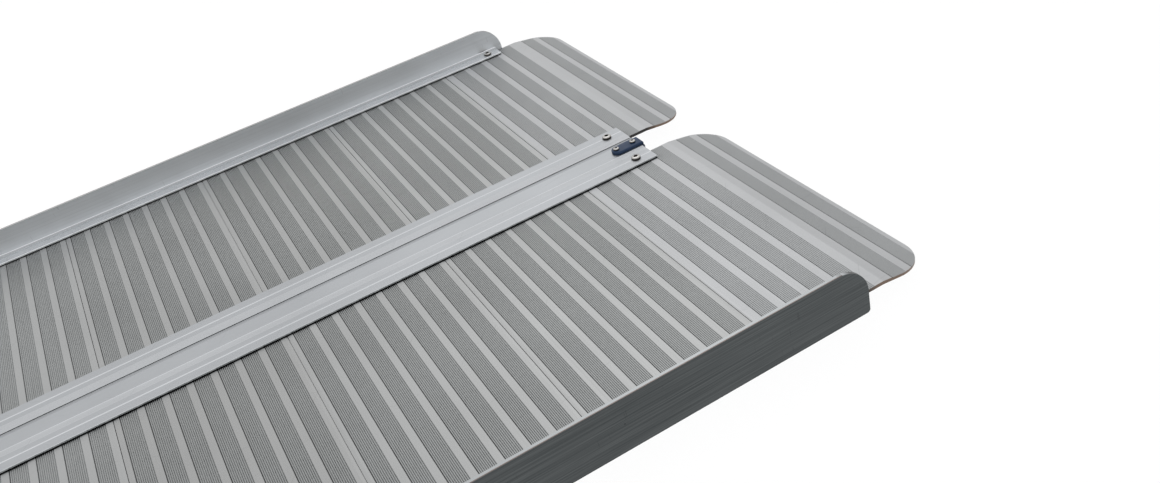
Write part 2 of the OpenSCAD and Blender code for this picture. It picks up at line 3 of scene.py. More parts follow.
import bmesh
import bpy
from mathutils import Matrix, Quaternion, Vector


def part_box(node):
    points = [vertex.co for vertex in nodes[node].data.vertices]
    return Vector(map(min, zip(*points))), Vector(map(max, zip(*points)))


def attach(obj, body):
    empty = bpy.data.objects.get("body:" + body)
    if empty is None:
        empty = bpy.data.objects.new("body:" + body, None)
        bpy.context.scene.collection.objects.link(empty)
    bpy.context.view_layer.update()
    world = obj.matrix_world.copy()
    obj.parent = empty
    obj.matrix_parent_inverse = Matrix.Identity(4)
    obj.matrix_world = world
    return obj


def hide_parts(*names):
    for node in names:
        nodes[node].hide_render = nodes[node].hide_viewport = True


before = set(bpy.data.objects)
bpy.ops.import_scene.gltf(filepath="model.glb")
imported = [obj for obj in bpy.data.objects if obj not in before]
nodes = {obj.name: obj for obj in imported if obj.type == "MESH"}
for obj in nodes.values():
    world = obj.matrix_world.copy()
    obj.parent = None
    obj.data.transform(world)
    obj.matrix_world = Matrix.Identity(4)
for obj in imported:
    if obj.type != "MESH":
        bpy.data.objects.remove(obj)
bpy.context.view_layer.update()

mm = 0.001

# Camera.
# It stands beside the right half, half a metre up, and looks across the hinge to the front.
# The picture is a cut from a wider frame, so the lens axis lies off its middle.
picture_w, picture_h = 1160, 483
focal_pixels = 1055.0
axis_u, axis_v = 673.3, 342.5
camera_place = Vector((877.8, 305.1, 528.8)) * mm
camera_azimuth, camera_drop, camera_roll = math.radians(-67.09), math.radians(38.93), math.radians(-13.91)
nearest_seen = 0.02

camera_data = bpy.data.cameras.new("camera")
camera_data.lens = focal_pixels / picture_w * camera_data.sensor_width
camera_data.shift_x = 0.5 - axis_u / picture_w
camera_data.shift_y = (axis_v - picture_h / 2) / picture_w
camera_data.clip_start = nearest_seen
look = Vector((
    math.sin(camera_azimuth) * math.cos(camera_drop),
    math.cos(camera_azimuth) * math.cos(camera_drop),
    -math.sin(camera_drop),
))
camera = bpy.data.objects.new("camera", camera_data)
camera.location = camera_place
camera.rotation_mode = "QUATERNION"
camera.rotation_quaternion = look.to_track_quat("-Z", "Y") @ Quaternion((0, 0, 1), camera_roll)
bpy.context.collection.objects.link(camera)
bpy.context.scene.camera = camera
bpy.context.scene.view_settings.view_transform = "Standard"


# Studio.
# A pale floor under the rails, a white surround, one broad soft lamp beyond the far rail,
# and a weak one on the camera's side. Little of the floor shows, so its shadow is faint.
def put(tree, kind, inputs=None, **settings):
    """Adds a node; an input's value is a plain value or the socket that feeds it."""
    node = tree.nodes.new(kind)
    for key, value in settings.items():
        setattr(node, key, value)
    for key, value in (inputs or {}).items():
        if isinstance(value, bpy.types.NodeSocket):
            tree.links.new(value, node.inputs[key])
        else:
            node.inputs[key].default_value = value
    return node


def calc(tree, operation, a, b=0.0):
    """One step of arithmetic between two sockets or values."""
    return put(tree, "ShaderNodeMath", {0: a, 1: b}, operation=operation).outputs[0]


def seen_white(tree):
    """1 for the rays that should meet the white background itself, and the light path."""
    rays = put(tree, "ShaderNodeLightPath").outputs
    mirrored = calc(tree, "MAXIMUM", rays["Is Glossy Ray"], rays["Is Transmission Ray"])
    return calc(tree, "MAXIMUM", rays["Is Camera Ray"], mirrored), rays


white = (1, 1, 1, 1)
surround_light = 0.62
world = bpy.data.worlds.new("studio")
world.use_nodes = True
world_tree = world.node_tree
world_tree.nodes.clear()
white_seen, _ = seen_white(world_tree)
glow = put(world_tree, "ShaderNodeBackground", {"Color": white, "Strength": 1.0})
fill = put(world_tree, "ShaderNodeBackground", {"Color": (0.97, 0.985, 1, 1), "Strength": surround_light})
both = put(world_tree, "ShaderNodeMixShader", {0: white_seen, 1: fill.outputs[0], 2: glow.outputs[0]})
put(world_tree, "ShaderNodeOutputWorld", {"Surface": both.outputs[0]})
bpy.context.scene.world = world

floor_drop, floor_half = 0.2 * mm, 6.0
floor_share = 0.1  # how much of the floor is seen before the white surround
floor_lift = 0.5  # what makes the floor white where no shadow falls
bpy.ops.mesh.primitive_plane_add(size=2 * floor_half, location=(0, 0, -floor_drop))
floor = bpy.context.object
floor.name = "floor"
floor_paint = bpy.data.materials.new("pale_floor")
floor_paint.use_nodes = True
floor_paint.cycles.emission_sampling = "NONE"
floor_tree = floor_paint.node_tree
floor_tree.nodes.clear()
white_seen, rays = seen_white(floor_tree)
thinned = calc(floor_tree, "MAXIMUM", white_seen, rays["Is Shadow Ray"])
paint = put(floor_tree, "ShaderNodeBsdfDiffuse", {"Color": (0.9, 0.9, 0.9, 1)})
clear = put(floor_tree, "ShaderNodeBsdfTransparent")
lift = put(floor_tree, "ShaderNodeEmission", {"Color": white, "Strength": floor_lift})
lifted = put(floor_tree, "ShaderNodeAddShader", {0: paint.outputs[0], 1: lift.outputs[0]})
veil = put(floor_tree, "ShaderNodeMixShader", {0: floor_share, 1: clear.outputs[0], 2: lifted.outputs[0]})
ground = put(floor_tree, "ShaderNodeMixShader", {0: thinned, 1: paint.outputs[0], 2: veil.outputs[0]})
put(floor_tree, "ShaderNodeOutputMaterial", {"Surface": ground.outputs[0]})
floor.data.materials.append(floor_paint)


def soft_lamp(name, place, aim, size, watts):
    """A square lamp that faces a point."""
    lamp_data = bpy.data.lights.new(name, "AREA")
    lamp_data.size = size
    lamp_data.energy = watts
    lamp = bpy.data.objects.new(name, lamp_data)
    lamp.location = place
    lamp.rotation_mode = "QUATERNION"
    lamp.rotation_quaternion = (Vector(aim) - Vector(place)).to_track_quat("-Z", "Y")
    bpy.context.collection.objects.link(lamp)


soft_lamp("lamp_above", place=(-1.9, 1.5, 2.6), aim=(0.1, 0.3, 0), size=1.6, watts=8)
soft_lamp("lamp_fill", place=(1.6, 1.8, 1.5), aim=(0, 0.2, 0), size=1.2, watts=1.5)


# Deck planks, eight on each half.
# Each is an aluminium extrusion laid across the ramp, with fine grooves in bands on top
# and a tongue under its neighbour. Its ends are clamped in the hinge and in the rail.
plank_len = 152.4 * mm
deck_top, lip_drop = 18 * mm, 10 * mm
band_pitch, band_w, first_band, first_groove_w = 21.07 * mm, 14.8 * mm, 4.99 * mm, 1.1 * mm
flange_edge, hinge_end = 41.9 * mm, 689.4 * mm
rail_flange_edge, rail_flange_end = 334.8 * mm, 686.8 * mm


def new_group(name, inputs, outputs):
    """An empty shader node group with named sockets."""
    group = bpy.data.node_groups.new(name, "ShaderNodeTree")
    for title, kind in inputs:
        group.interface.new_socket(title, in_out="INPUT", socket_type=kind)
    for title, kind in outputs:
        group.interface.new_socket(title, in_out="OUTPUT", socket_type=kind)
    return group, group.nodes.new("NodeGroupInput").outputs, group.nodes.new("NodeGroupOutput").inputs


def noise(tree, place, scale, detail, roughness=0.5):
    """Noise with so many lumps to the metre."""
    return put(tree, "ShaderNodeTexNoise", {
        "Vector": place, "Scale": scale, "Detail": detail, "Roughness": roughness}).outputs[0]


def stretched(tree, place, stretch):
    """The place times a factor on each axis, to draw a pattern out."""
    return put(tree, "ShaderNodeVectorMath", {0: place, 1: stretch}, operation="MULTIPLY").outputs[0]


# Streaks that the die leaves along an extrusion, broad stains, small specks and hair scratches
speck_cells, speck_r, speck_rarity = 45.0, 0.035, 0.93
hair_ways = ((0.62, 34.0), (-0.95, 52.0), (1.35, 26.0))  # the turn of each lot, and hairs to the metre
hair_fineness, hair_layers, hair_r, hair_rarity = 1500.0, 90.0, 0.34, 0.992
die_marks, given, result = new_group(
    "die_marks",
    [("Place", "NodeSocketVector"), ("Stretch", "NodeSocketVector"), ("Cloud size", "NodeSocketFloat")],
    [("Streaks", "NodeSocketFloat"), ("Clouds", "NodeSocketFloat"), ("Specks", "NodeSocketFloat"),
     ("Scratches", "NodeSocketFloat")],
)
drawn = stretched(die_marks, given["Place"], given["Stretch"])
streaks = noise(die_marks, drawn, scale=1.0, detail=4.0, roughness=0.65)
cloud_scale = calc(die_marks, "DIVIDE", 1.0, given["Cloud size"])
clouds = noise(die_marks, given["Place"], cloud_scale, detail=3.0, roughness=0.55)
cell = put(die_marks, "ShaderNodeTexVoronoi", {"Vector": given["Place"], "Scale": speck_cells})
near_cell = calc(die_marks, "LESS_THAN", cell.outputs["Distance"], speck_r)
cell_draw = put(die_marks, "ShaderNodeSeparateColor", {"Color": cell.outputs["Color"]})
rare = calc(die_marks, "GREATER_THAN", cell_draw.outputs["Red"], speck_rarity)
specks = calc(die_marks, "MULTIPLY", near_cell, rare)
hairs = []
for turn, to_the_metre in hair_ways:
    turned_place = put(die_marks, "ShaderNodeVectorRotate", {"Vector": given["Place"], "Angle": turn},
                       rotation_type="Z_AXIS").outputs[0]
    drawn_out = stretched(die_marks, turned_place, (to_the_metre, hair_fineness, hair_layers))
    stroke = put(die_marks, "ShaderNodeTexVoronoi", {"Vector": drawn_out, "Scale": 1.0})
    stroke_draw = put(die_marks, "ShaderNodeSeparateColor", {"Color": stroke.outputs["Color"]})
    chosen = calc(die_marks, "GREATER_THAN", stroke_draw.outputs["Red"], hair_rarity)
    within = calc(die_marks, "LESS_THAN", stroke.outputs["Distance"], hair_r)
    hairs.append(calc(die_marks, "MULTIPLY", chosen, within))
hair = calc(die_marks, "MAXIMUM", calc(die_marks, "MAXIMUM", hairs[0], hairs[1]), hairs[2])
for title, socket in (("Streaks", streaks), ("Clouds", clouds), ("Specks", specks), ("Scratches", hair)):
    die_marks.links.new(socket, result[title])

across, along = (4.0, 900.0, 900.0), (900.0, 4.0, 900.0)  # streaks that run across and along the ramp
smoother, rougher = 0.05, 0.07  # what the streaks take from a metal's roughness, and what they add


def spread(tree, value, low, high, swing=0.2):
    """A noise's middle range, stretched to run from one value to another."""
    return put(tree, "ShaderNodeMapRange", {
        "Value": value, "From Min": 0.5 - swing, "From Max": 0.5 + swing,
        "To Min": low, "To Max": high}).outputs[0]


def metal(name, stretch, cloud_size, roughness):
    """A new metal with die marks on it: its tree, its shader, its place and the marks."""
    material = bpy.data.materials.new(name)
    material.use_nodes = True
    tree = material.node_tree
    shader = tree.nodes["Principled BSDF"]
    shader.inputs["Metallic"].default_value = 1.0
    place = put(tree, "ShaderNodeTexCoord").outputs
    marks = put(tree, "ShaderNodeGroup", {
        "Place": place["Object"], "Stretch": stretch, "Cloud size": cloud_size}, node_tree=die_marks).outputs
    rough = spread(tree, marks["Streaks"], roughness - smoother, roughness + rougher)
    tree.links.new(rough, shader.inputs["Roughness"])
    return material, tree, shader, place, marks


def scaled(tree, colour, gain):
    """A colour times a number or another colour."""
    if isinstance(gain, bpy.types.NodeSocket) and gain.type == "VALUE":
        return put(tree, "ShaderNodeVectorMath", {0: colour, "Scale": gain}, operation="SCALE").outputs[0]
    return put(tree, "ShaderNodeVectorMath", {0: colour, 1: gain}, operation="MULTIPLY").outputs[0]


speck_depth, hair_depth = 0.35, 0.14


def tinted(tree, colour, marks, streak_depth, cloud_depth):
    """The colour, lightened and darkened by the die marks and by handling."""
    streak_gain = spread(tree, marks["Streaks"], 1 - streak_depth, 1 + streak_depth)
    cloud_gain = spread(tree, marks["Clouds"], 1 - cloud_depth, 1 + cloud_depth, swing=0.15)
    speck_gain = calc(tree, "SUBTRACT", 1.0, calc(tree, "MULTIPLY", marks["Specks"], speck_depth))
    hair_gain = calc(tree, "SUBTRACT", 1.0, calc(tree, "MULTIPLY", marks["Scratches"], hair_depth))
    gain = calc(tree, "MULTIPLY", calc(tree, "MULTIPLY", streak_gain, cloud_gain),
                calc(tree, "MULTIPLY", speck_gain, hair_gain))
    return scaled(tree, colour, gain)


def blended(tree, mask, under, over):
    """One colour over another where the mask is 1."""
    mix = put(tree, "ShaderNodeMix", data_type="RGBA")
    for key, value in ((0, mask), (6, under), (7, over)):
        if isinstance(value, bpy.types.NodeSocket):
            tree.links.new(value, mix.inputs[key])
        else:
            mix.inputs[key].default_value = value
    return mix.outputs[2]


def bumped(tree, shader, height, strength, distance):
    """Feeds a height into the shader's normal."""
    bump = put(tree, "ShaderNodeBump", {"Height": height, "Strength": strength, "Distance": distance})
    tree.links.new(bump.outputs[0], shader.inputs["Normal"])


def split(tree, place):
    """X, Y and Z of the way that a face looks, and of its place."""
    return [put(tree, "ShaderNodeSeparateXYZ", {0: place[title]}).outputs for title in ("Normal", "Object")]


def unsigned(tree, value):
    return calc(tree, "ABSOLUTE", value)


def above(tree, value, limit):
    return calc(tree, "GREATER_THAN", value, limit)


def below(tree, value, limit):
    return calc(tree, "LESS_THAN", value, limit)


def every(tree, *masks):
    """1 where all the masks are 1."""
    product = masks[0]
    for mask in masks[1:]:
        product = calc(tree, "MULTIPLY", product, mask)
    return product


def fade(tree, value, start, stop, top):
    """The top value up to the start, then evenly down to nothing."""
    return put(tree, "ShaderNodeMapRange", {
        "Value": value, "From Min": start, "From Max": stop, "To Min": top, "To Max": 0.0}).outputs[0]


# Where the grooved bands lie along a plank, and the sharp first groove of each
grooved_bands, given, result = new_group(
    "grooved_bands",
    [("Along", "NodeSocketFloat"), ("First", "NodeSocketFloat"), ("Pitch", "NodeSocketFloat"),
     ("Width", "NodeSocketFloat")],
    [("Band", "NodeSocketFloat"), ("First groove", "NodeSocketFloat")],
)
from_first = calc(grooved_bands, "SUBTRACT", given["Along"], given["First"])
in_pitch = calc(grooved_bands, "FLOORED_MODULO", from_first, given["Pitch"])
grooved_bands.links.new(calc(grooved_bands, "LESS_THAN", in_pitch, given["Width"]), result["Band"])
grooved_bands.links.new(calc(grooved_bands, "LESS_THAN", in_pitch, first_groove_w), result["First groove"])


def band_row(tree, from_start, first, pitch, width):
    """Masks of the bands in one row and of their first grooves."""
    return put(tree, "ShaderNodeGroup", {"Along": from_start, "First": first, "Pitch": pitch, "Width": width},
               node_tree=grooved_bands).outputs


def shaded(colour, gain):
    """A plain colour, made darker or lighter."""
    return [part * gain for part in colour[:3]] + [1]


# Painted shade and highlight in the grooved bands: darker lands, darker walls facing -Y, lighter walls facing
# +Y, a dark first groove
band_shade_gain, back_wall_shade_gain, front_wall_highlight_gain, first_groove_shade_gain = 0.8, 0.82, 1.16, 0.56
underside, wall_lean = -0.2, 0.4
# A near-black colour for painted shade in the plank seams, and for painted shade with some grime beside the
# flanges
shade_and_dirt, seam_reach = (0.022, 0.026, 0.026, 1), 1.7 * mm
# Painted shade, with some grime, on the deck beside the hinge and rail flanges
hinge_edge_shade_and_dirt, rail_edge_shade_and_dirt = (0.9 * mm, 2.0 * mm, 0.84), (0.4 * mm, 1.6 * mm, 0.4)  # full to, gone at, strength
left_lots, lot_step, first_lot = 31, 2.4, 1.789
raw_dullness = 0.8


def deck_metal(name, plain, band_colour, bands_of, edges_of=None):
    """Plank aluminium: plain strips, bands with painted shade and highlight, and painted shade at seams and
    flanges, with some grime at the flanges.
    """
    material, tree, shader, place, marks = metal(name, across, cloud_size=0.12, roughness=0.42)
    facing, where = split(tree, place)
    x, y, z = where
    band, first_groove = bands_of(tree, y)
    band = every(tree, band, above(tree, facing["Z"], underside))
    colour = blended(tree, band, plain, shaded(band_colour, band_shade_gain))
    upper = above(tree, z, deck_top - lip_drop)
    back_wall = every(tree, below(tree, facing["Y"], -wall_lean), upper)
    front_wall = every(tree, above(tree, facing["Y"], wall_lean), upper)
    colour = blended(tree, back_wall, colour, shaded(band_colour, back_wall_shade_gain))
    colour = blended(tree, front_wall, colour, shaded(band_colour, front_wall_highlight_gain))
    groove_wall = calc(tree, "MAXIMUM", back_wall, front_wall)
    colour = blended(tree, every(tree, first_groove, groove_wall), colour, shaded(band_colour, first_groove_shade_gain))
    # Painted shade on the groove walls at each seam between planks
    past_seam = calc(tree, "FLOORED_MODULO", calc(tree, "ADD", y, seam_reach), plank_len)
    at_seam = below(tree, past_seam, 2 * seam_reach)
    colour = blended(tree, every(tree, at_seam, groove_wall), colour, shade_and_dirt)

    # Each plank came from its own length of extrusion, so some have dulled more than others
    number = calc(tree, "FLOOR", calc(tree, "DIVIDE", y, plank_len))
    number = calc(tree, "ADD", number, calc(tree, "MULTIPLY", below(tree, x, 0), left_lots))
    wave = calc(tree, "SINE", calc(tree, "ADD", calc(tree, "MULTIPLY", number, lot_step), first_lot))
    lot = calc(tree, "ADD", calc(tree, "MULTIPLY", wave, 0.5), 0.5)
    dull_lot = blended(tree, band, (0.94, 0.938, 0.934, 1), (0.975, 0.978, 0.975, 1))
    colour = scaled(tree, colour, blended(tree, lot, dull_lot, (1.01, 1.013, 1.013, 1)))

    # Painted shade, with some grime, on the deck just beside the flanges' edges
    side, reach = unsigned(tree, x), unsigned(tree, y)
    by_hinge = fade(tree, calc(tree, "SUBTRACT", side, flange_edge), *hinge_edge_shade_and_dirt)
    by_rail = fade(tree, calc(tree, "SUBTRACT", rail_flange_edge, side), *rail_edge_shade_and_dirt)
    flange_shade_and_dirt = calc(tree, "MAXIMUM", every(tree, by_hinge, below(tree, reach, hinge_end)),
                 every(tree, by_rail, below(tree, reach, rail_flange_end)))
    colour = blended(tree, flange_shade_and_dirt, colour, shade_and_dirt)
    colour = tinted(tree, colour, marks, streak_depth=0.03, cloud_depth=0.03)
    if edges_of:
        raw, raw_colour = edges_of(tree, facing, where, marks)
        colour = blended(tree, raw, colour, raw_colour)
        metallic = calc(tree, "SUBTRACT", 1.0, calc(tree, "MULTIPLY", raw, raw_dullness))
        tree.links.new(metallic, shader.inputs["Metallic"])
    tree.links.new(colour, shader.inputs["Base Color"])
    bumped(tree, shader, marks["Streaks"], strength=0.25, distance=0.05 * mm)
    return material


def plank_bands(tree, y):
    """Bands that start again with each plank."""
    row = band_row(tree, calc(tree, "FLOORED_MODULO", y, plank_len), first_band, band_pitch, band_w)
    return row["Band"], row["First groove"]


def dress(name, material):
    """Gives a CAD piece its finished material."""
    nodes[name].data.materials.clear()
    nodes[name].data.materials.append(material)


plank_metal = deck_metal("plank_aluminium", plain=(0.395, 0.4, 0.4, 1), band_colour=(0.416, 0.424, 0.424, 1),
                         bands_of=plank_bands)
for side in ("right", "left"):
    for number in range(1, 9):
        dress(f"{side}_plank_{number}", plank_metal)

# End planks, one at each end of each half.
# The same alloy, with a wider band pitch, bent down past the fourth band and thinned
# to a lip. The sawn and rounded edge is left raw and has browned.
end_seam = 609.6 * mm
end_first, end_pitch, end_band_w = 9.2 * mm, 23.2 * mm, 15.5 * mm
tip_first, tip_pitch, tip_band_w = 111.5 * mm, 22.1 * mm, 14.5 * mm
flat_till, tip_from = 97.9 * mm, 105.9 * mm
edge_depth = 2.5 * mm
edge_lean, edge_slope = 0.3, 0.6
brown_from, brown_full, hinge_side_lag = 85 * mm, 98 * mm, 18 * mm


def past_end_seam(tree, y):
    """How far a place lies beyond the seam with the last plank."""
    return calc(tree, "SUBTRACT", unsigned(tree, y), end_seam)


def end_bands(tree, y):
    """The four bands before the bend and those on the lip."""
    from_seam = past_end_seam(tree, y)
    flat = band_row(tree, from_seam, end_first, end_pitch, end_band_w)
    tip = band_row(tree, from_seam, tip_first, tip_pitch, tip_band_w)
    on_flat, on_tip = below(tree, from_seam, flat_till), above(tree, from_seam, tip_from)
    return [calc(tree, "ADD", every(tree, flat[title], on_flat), every(tree, tip[title], on_tip))
            for title in ("Band", "First groove")]


def sawn_edges(tree, facing, where, marks):
    """The raw edge of an end plank: nearly black at the rails, brown towards the tip."""
    from_seam = past_end_seam(tree, where["Y"])
    sideways = above(tree, unsigned(tree, facing["X"]), edge_lean)
    at_tip = above(tree, from_seam, plank_len - edge_depth)
    upright = below(tree, unsigned(tree, facing["Z"]), edge_slope)
    raw = every(tree, calc(tree, "MAXIMUM", sideways, at_tip), upright)
    hinge_side = below(tree, unsigned(tree, where["X"]), rail_flange_edge / 2)
    past_dark = calc(tree, "SUBTRACT", from_seam, calc(tree, "MULTIPLY", hinge_side, hinge_side_lag))
    browned = put(tree, "ShaderNodeMapRange", {
        "Value": past_dark, "From Min": brown_from, "From Max": brown_full})
    brown = blended(tree, marks["Clouds"], (0.12, 0.078, 0.052, 1), (0.27, 0.185, 0.13, 1))
    return raw, blended(tree, browned.outputs[0], (0.014, 0.012, 0.011, 1), brown)


end_metal = deck_metal("end_plank_aluminium", plain=(0.447, 0.455, 0.465, 1), band_colour=(0.464, 0.472, 0.478, 1),
                       bands_of=end_bands, edges_of=sawn_edges)
for side in ("right", "left"):
    for end in ("front", "back"):
        dress(f"{side}_end_plank_{end}", end_metal)

# Hinge profiles and pin.
# Two aluminium extrusions along the middle of the ramp. The right one carries the band
# that covers the knuckles; a steel pin runs through all of them.
lines_above, guide_x, band_line_x, wide_line_reach = 19.4 * mm, 30.4 * mm, 14.4 * mm, 1 * mm
hinge_flank_x, bead_left, bead_right = 41.8 * mm, -10.6 * mm, -5.6 * mm
slight_lean, square_on = 0.2, 0.7


def drawn_metal(name, base, cloud_size, roughness, streak_depth, cloud_depth, reworked=None):
    """Aluminium or steel drawn along the ramp."""
    material, tree, shader, place, marks = metal(name, along, cloud_size, roughness)
    colour = tinted(tree, base, marks, streak_depth, cloud_depth)
    if reworked:
        colour = reworked(tree, place, colour)
    tree.links.new(colour, shader.inputs["Base Color"])
    bumped(tree, shader, marks["Streaks"], strength=0.3, distance=0.05 * mm)
    return material


def between(tree, value, low, high):
    return every(tree, above(tree, value, low), below(tree, value, high))


def hinge_faces(tree, place, colour):
    """Painted highlight on the fine lines' walls, a painted lit flank, a darker bead at the seam, and dark
    sawn ends.
    """
    facing, where = split(tree, place)
    side = unsigned(tree, where["X"])
    leaning = above(tree, unsigned(tree, facing["X"]), slight_lean)
    from_guide = unsigned(tree, calc(tree, "SUBTRACT", side, guide_x))
    from_band_line = unsigned(tree, calc(tree, "SUBTRACT", where["X"], band_line_x))
    # Painted highlight on the walls of the fine lines, stronger on the two wide lines
    wide_line = below(tree, calc(tree, "MINIMUM", from_guide, from_band_line), wide_line_reach)
    line_highlight_gain = blended(tree, wide_line, (1.26, 1.25, 1.24, 1), (1.48, 1.47, 1.46, 1))
    on_line = every(tree, leaning, above(tree, where["Z"], lines_above))
    colour = blended(tree, on_line, colour, scaled(tree, colour, line_highlight_gain))
    # Painted light on the flange's outer side face
    flank = every(tree, above(tree, side, hinge_flank_x), leaning)
    colour = blended(tree, flank, colour, (0.62, 0.64, 0.655, 1))
    bead = between(tree, where["X"], bead_left, bead_right)
    colour = blended(tree, bead, colour, scaled(tree, colour, (0.71, 0.715, 0.72)))
    sawn = above(tree, unsigned(tree, facing["Y"]), square_on)
    return blended(tree, sawn, colour, (0.13, 0.13, 0.128, 1))


hinge_metal = drawn_metal("hinge_aluminium", (0.418, 0.432, 0.449), cloud_size=0.15, roughness=0.36,
                          streak_depth=0.035, cloud_depth=0.04, reworked=hinge_faces)
pin_metal = drawn_metal("pin_steel", (0.55, 0.55, 0.55), cloud_size=0.05, roughness=0.3,
                        streak_depth=0.05, cloud_depth=0.05)
dress("right_hinge_profile", hinge_metal)
dress("left_hinge_profile", hinge_metal)
dress("hinge_pin", pin_metal)

# Hinge end caps.
# Dark blue moulded plastic with rounded edges: a bar that is screwed on the middle band,
# and a plate that hangs from it over the hinge's end.
flange_top = 20.6 * mm
cap_x, cap_w, cap_len, cap_h = 4.7 * mm, 14.6 * mm, 30 * mm, 3.2 * mm
cap_plate_w, cap_plate_t, cap_plate_low = 19.6 * mm, 2.4 * mm, 1 * mm
cap_round, cap_plate_round, nose_steps = 1.2 * mm, 0.5 * mm, 24
sharp_above = math.radians(30)


def kept(name, shape):
    """Turns a bmesh into an object with its place in its mesh, smooth between sharp edges."""
    bmesh.ops.recalc_face_normals(shape, faces=shape.faces[:])
    mesh = bpy.data.meshes.new(name)
    shape.to_mesh(mesh)
    shape.free()
    mesh.polygons.foreach_set("use_smooth", [True] * len(mesh.polygons))
    mesh.set_sharp_from_angle(angle=sharp_above)
    piece = bpy.data.objects.new(name, mesh)
    bpy.context.collection.objects.link(piece)
    return piece


def raised(shape, outline, low, high):
    """Raises a flat outline into a block; its new edges at the top come back."""
    lowest_face = shape.faces.new([shape.verts.new((x, y, low)) for x, y in outline])
    grown_part = bmesh.ops.extrude_face_region(shape, geom=[lowest_face])["geom"]
    top = [part for part in grown_part if isinstance(part, bmesh.types.BMVert)]
    bmesh.ops.translate(shape, verts=top, vec=(0, 0, high - low))
    return [part for part in grown_part if isinstance(part, bmesh.types.BMEdge)]


def rounded(shape, edges, radius, steps):
    """Rounds the edges."""
    bmesh.ops.bevel(shape, geom=edges, offset=radius, segments=steps, profile=0.5, affect="EDGES")


cap_plastic = bpy.data.materials.new("navy_plastic")
cap_plastic.use_nodes = True
cap_tree = cap_plastic.node_tree
cap_shader = cap_tree.nodes["Principled BSDF"]
cap_place = put(cap_tree, "ShaderNodeTexCoord").outputs["Object"]
cap_height = put(cap_tree, "ShaderNodeSeparateXYZ", {0: cap_place}).outputs["Z"]
cap_grain = noise(cap_tree, cap_place, scale=900.0, detail=3.0)
cap_wear = noise(cap_tree, cap_place, scale=90.0, detail=4.0, roughness=0.6)
cap_colour = blended(cap_tree, cap_grain, (0.009, 0.03, 0.08, 1), (0.017, 0.045, 0.106, 1))
# Painted shade: darker towards the bar's foot and over the hanging plate
cap_foot_shade = fade(cap_tree, cap_height, start=flange_top + 0.4 * mm, stop=flange_top + 1.8 * mm, top=0.6)
cap_colour = blended(cap_tree, cap_foot_shade, cap_colour, (0.004, 0.008, 0.018, 1))
cap_tree.links.new(cap_colour, cap_shader.inputs["Base Color"])
cap_shader.inputs["Specular IOR Level"].default_value = 0.35
cap_tree.links.new(spread(cap_tree, cap_wear, 0.38, 0.52, swing=0.15), cap_shader.inputs["Roughness"])
bumped(cap_tree, cap_shader, cap_grain, strength=0.2, distance=0.05 * mm)

cap_end = hinge_end + cap_plate_t
cap_nose = hinge_end - cap_len + cap_w / 2
bar_outline = [(cap_x + cap_w / 2, cap_end), (cap_x - cap_w / 2, cap_end)]
for step in range(nose_steps + 1):
    turn = math.pi + math.pi * step / nose_steps
    bar_outline.append((cap_x + cap_w / 2 * math.cos(turn), cap_nose + cap_w / 2 * math.sin(turn)))
plate_outline = [(cap_x + cap_plate_w / 2, hinge_end), (cap_x + cap_plate_w / 2, cap_end),
                 (cap_x - cap_plate_w / 2, cap_end), (cap_x - cap_plate_w / 2, hinge_end)]
for end, way in (("front", 1), ("back", -1)):
    bar = bmesh.new()
    rim = raised(bar, bar_outline, flange_top, flange_top + cap_h)
    rounded(bar, rim, cap_round, steps=4)
    plate = bmesh.new()
    raised(plate, plate_outline, cap_plate_low, flange_top)
    rounded(plate, plate.edges[:], cap_plate_round, steps=3)
    plate_mesh = bpy.data.meshes.new("plate")
    plate.to_mesh(plate_mesh)
    plate.free()
    bar.from_mesh(plate_mesh)
    bpy.data.meshes.remove(plate_mesh)
    bmesh.ops.scale(bar, verts=bar.verts[:], vec=(1, way, 1))
    moulding = kept(f"{end}_cap_moulding", bar)
    moulding.data.materials.append(cap_plastic)
    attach(moulding, "right_half")
    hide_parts(f"{end}_hinge_cap")

# Side rails.
# One aluminium extrusion on each side: an upright wall with sawn, rounded ends, a lined
# flange on the deck, and a channel that holds the planks. The outer wall is painted dark as shade.
outer_x, rail_end, rail_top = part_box("right_side_rail")[1]
rail_t, rail_round = 3.5 * mm, 27 * mm
skin_t, top_edge_t, outer_edge_w = 0.3 * mm, 0.4 * mm, 0.9 * mm
line_reach, line_clear, bead_clear = 1.5 * mm, 0.02 * mm, 0.05 * mm
round_from, round_full = 0.05, 0.45  # how far the end's edge has turned down where its sawn grey sets in
flange_from, flange_to = rail_flange_edge + 1 * mm, outer_x - rail_t - 0.1 * mm


